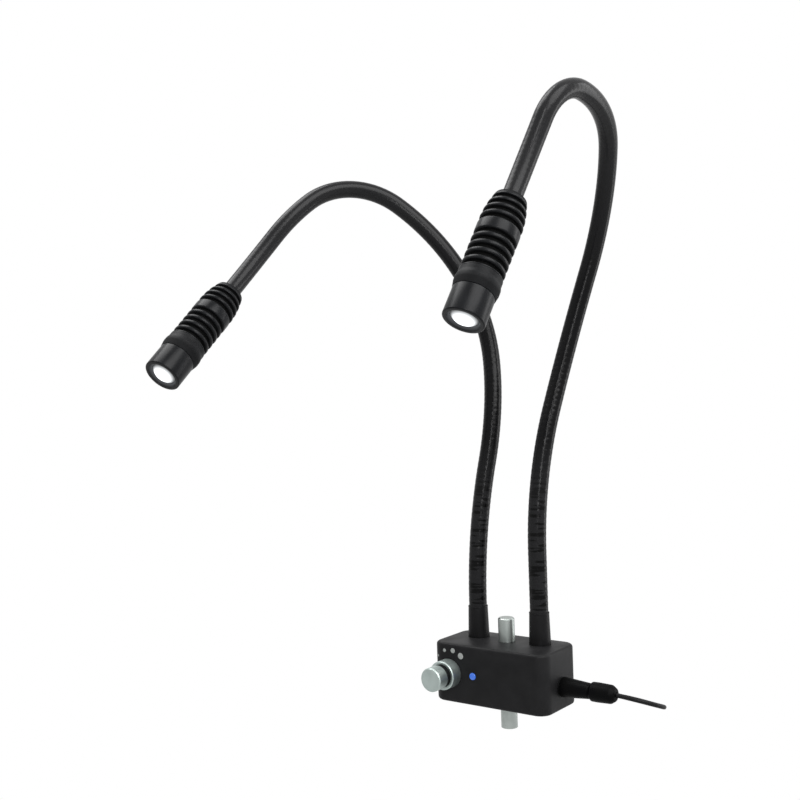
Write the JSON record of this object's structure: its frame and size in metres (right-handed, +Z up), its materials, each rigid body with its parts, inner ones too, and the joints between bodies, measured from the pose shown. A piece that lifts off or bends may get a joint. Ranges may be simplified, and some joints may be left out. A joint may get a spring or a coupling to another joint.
{
  "type": "twin gooseneck LED illuminator",
  "caption": "Small control box on a stand rod with a dimmer knob and two long goosenecks, each ending in a finned LED spot head.",
  "frame": {"origin": "centre of the stand rod's lower end", "axes": "+Z up along the stand rod, -Y out of the front face with the knob, +X towards the power inlet"},
  "size_m": [0.2949, 0.2437, 0.4462],
  "materials": {
    "box_black": "matt black moulded housing",
    "rod_steel": "turned and polished steel",
    "bush_brass": "turned brass",
    "fastener_steel": "zinc-plated steel",
    "clamp_metal": "turned, bright",
    "knob_metal": "turned, satin bright",
    "knob_black": "matt black",
    "lamp_blue": "clear blue, lit",
    "board_green": "coated circuit board",
    "part_black": "moulded component",
    "can_metal": "drawn can",
    "dial_metal": "plated steel",
    "inlet_black": "moulded socket",
    "contact_nickel": "nickel plated",
    "plug_black": "soft moulded plug",
    "lead_black": "smooth cable jacket",
    "tie_black": "strap",
    "hose_black": "satin black ribbed hose",
    "wire_jacket": "wire insulation",
    "sleeve_black": "satin black sleeve",
    "head_black": "black anodised",
    "lens_clear": "clear, lit",
    "light_board": "white coated board with emitter"
  },
  "bodies": {
    "rod": {"mounting_rod": "rod_steel"},
    "bush": {"rod_bush": "bush_brass"},
    "box": {"housing": "box_black", "rear_cover": "box_black", "cover_screws": "fastener_steel", "driver_board": "board_green", "board_screws": "fastener_steel", "inductor": "part_black", "capacitors": "can_metal", "potentiometer": "dial_metal", "knob_collar": "knob_metal", "indicator_led": "lamp_blue", "power_inlet": "inlet_black", "plug_contact": "contact_nickel", "plug_nose": "plug_black", "plug_barrel": "plug_black", "cord": "lead_black", "cord_coil": "lead_black", "coil_tie": "tie_black", "supply_plug_grip": "plug_black", "supply_plug_shell": "contact_nickel", "neck_nuts": "fastener_steel", "left_neck_sleeve": "sleeve_black", "left_neck_1": "hose_black", "left_wire_1": "wire_jacket", "right_neck_sleeve": "sleeve_black", "right_neck_1": "hose_black", "right_wire_1": "wire_jacket"},
    "clamp": {"clamp_screw": "clamp_metal"},
    "knob": {"knob_core": "knob_black", "knob_cap": "knob_metal", "potentiometer_shaft": "dial_metal"},
    "left_arm_2": {"left_neck_2": "hose_black", "left_wire_2": "wire_jacket"},
    "left_arm_3": {"left_neck_3": "hose_black", "left_wire_3": "wire_jacket"},
    "left_arm_4": {"left_neck_4": "hose_black", "left_wire_4": "wire_jacket"},
    "left_arm_5": {"left_neck_5": "hose_black", "left_wire_5": "wire_jacket", "left_heat_sink": "head_black", "left_head_collar": "head_black", "left_light_board": "light_board"},
    "left_barrel": {"left_focus_barrel": "head_black", "left_lens": "lens_clear", "left_lens_ring": "head_black"},
    "right_arm_2": {"right_neck_2": "hose_black", "right_wire_2": "wire_jacket"},
    "right_arm_3": {"right_neck_3": "hose_black", "right_wire_3": "wire_jacket"},
    "right_arm_4": {"right_neck_4": "hose_black", "right_wire_4": "wire_jacket"},
    "right_arm_5": {"right_neck_5": "hose_black", "right_wire_5": "wire_jacket", "right_heat_sink": "head_black", "right_head_collar": "head_black", "right_light_board": "light_board"},
    "right_barrel": {"right_focus_barrel": "head_black", "right_lens": "lens_clear", "right_lens_ring": "head_black"}
  },
  "joints": [
    {"name": "box_height", "type": "slide", "parent": "rod", "child": "bush", "axis": [0, 0, 1], "range_m": [-0.01, 0.012]},
    {"name": "box_swivel", "type": "hinge", "parent": "bush", "child": "box", "pos_m": [0, 0, 0.0417], "axis": [0, 0, 1], "range_deg": [-180, 180]},
    {"name": "clamp_turn", "type": "hinge", "parent": "box", "child": "clamp", "pos_m": [0, 0.0195, 0.0375], "axis": [0, 1, 0], "range_deg": [0, 360]},
    {"name": "dimmer_turn", "type": "hinge", "parent": "box", "child": "knob", "pos_m": [-0.0323, -0.0285, 0.04175], "axis": [0, -1, 0], "range_deg": [-150, 150]},
    {"name": "left_neck_low", "type": "hinge", "parent": "box", "child": "left_arm_2", "pos_m": [-0.02143, 0.01492, 0.19246], "axis": [0.3149, 0.9178, -0.2418], "range_deg": [-20, 20]},
    {"name": "left_neck_middle", "type": "hinge", "parent": "left_arm_2", "child": "left_arm_3", "pos_m": [-0.0289, 0.03722, 0.26737], "axis": [0.5394, 0.8301, -0.1415], "range_deg": [-20, 20]},
    {"name": "left_neck_high", "type": "hinge", "parent": "left_arm_3", "child": "left_arm_4", "pos_m": [-0.10246, 0.02177, 0.39455], "axis": [-0.7826, 0.5339, -0.3202], "range_deg": [-20, 20]},
    {"name": "left_neck_end", "type": "hinge", "parent": "left_arm_4", "child": "left_arm_5", "pos_m": [-0.14346, -0.03753, 0.39587], "axis": [0.1725, -0.637, 0.7513], "range_deg": [-20, 20]},
    {"name": "left_focus", "type": "slide", "parent": "left_arm_5", "child": "left_barrel", "axis": [0.0081, -0.7468, -0.6649], "range_m": [0, 0.005]},
    {"name": "right_neck_low", "type": "hinge", "parent": "box", "child": "right_arm_2", "pos_m": [0.02877, 0.02559, 0.23117], "axis": [0.7799, 0.5499, -0.2988], "range_deg": [-20, 20]},
    {"name": "right_neck_middle", "type": "hinge", "parent": "right_arm_2", "child": "right_arm_3", "pos_m": [0.04664, 0.05445, 0.3309], "axis": [-0.2424, 0.969, -0.0488], "range_deg": [-20, 20]},
    {"name": "right_neck_high", "type": "hinge", "parent": "right_arm_3", "child": "right_arm_4", "pos_m": [0.08026, 0.02534, 0.41352], "axis": [-0.8055, 0.1125, 0.5818], "range_deg": [-20, 20]},
    {"name": "right_neck_end", "type": "hinge", "parent": "right_arm_4", "child": "right_arm_5", "pos_m": [0.09083, -0.03268, 0.43937], "axis": [0.2834, 0.0858, 0.9552], "range_deg": [-20, 20]},
    {"name": "right_focus", "type": "slide", "parent": "right_arm_5", "child": "right_barrel", "axis": [-0.0581, -0.5453, -0.8362], "range_m": [0, 0.005]}
  ]
}
